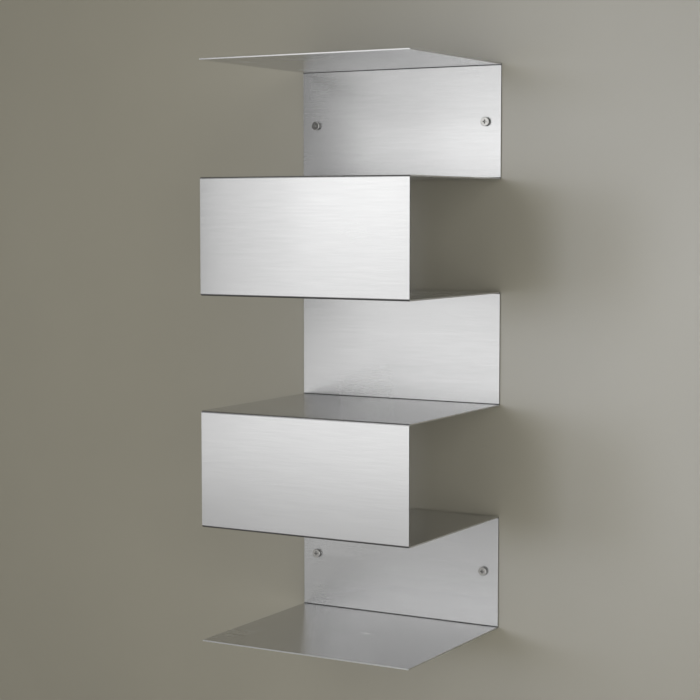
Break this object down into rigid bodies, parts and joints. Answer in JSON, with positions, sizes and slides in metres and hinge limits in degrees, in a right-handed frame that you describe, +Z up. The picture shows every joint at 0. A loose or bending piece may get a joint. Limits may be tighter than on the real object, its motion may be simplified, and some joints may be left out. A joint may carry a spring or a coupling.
{
  "type": "wall rack",
  "caption": "Serpentine wall rack folded from a strip of brushed sheet steel into stacked open compartments, fixed to a wall by pan-head screws in plugs.",
  "frame": {"origin": "on the wall plane, midway between the four wall fixings", "axes": "+Z up, +X to the right for a person facing the rack, -Y towards that person, +Y into the wall"},
  "size_m": [0.25, 0.2555, 0.62],
  "materials": {
    "brushed_sheet": "fine brushed grain across the width",
    "screw_steel": "turned, satin",
    "plug_plastic": "matt moulded"
  },
  "bodies": {
    "root": {"folded_sheet": "brushed_sheet", "wall_screw_upper_left": "screw_steel", "wall_screw_upper_right": "screw_steel", "wall_screw_lower_left": "screw_steel", "wall_screw_lower_right": "screw_steel", "wall_plug_upper_left": "plug_plastic", "wall_plug_upper_right": "plug_plastic", "wall_plug_lower_left": "plug_plastic", "wall_plug_lower_right": "plug_plastic"}
  },
  "joints": []
}
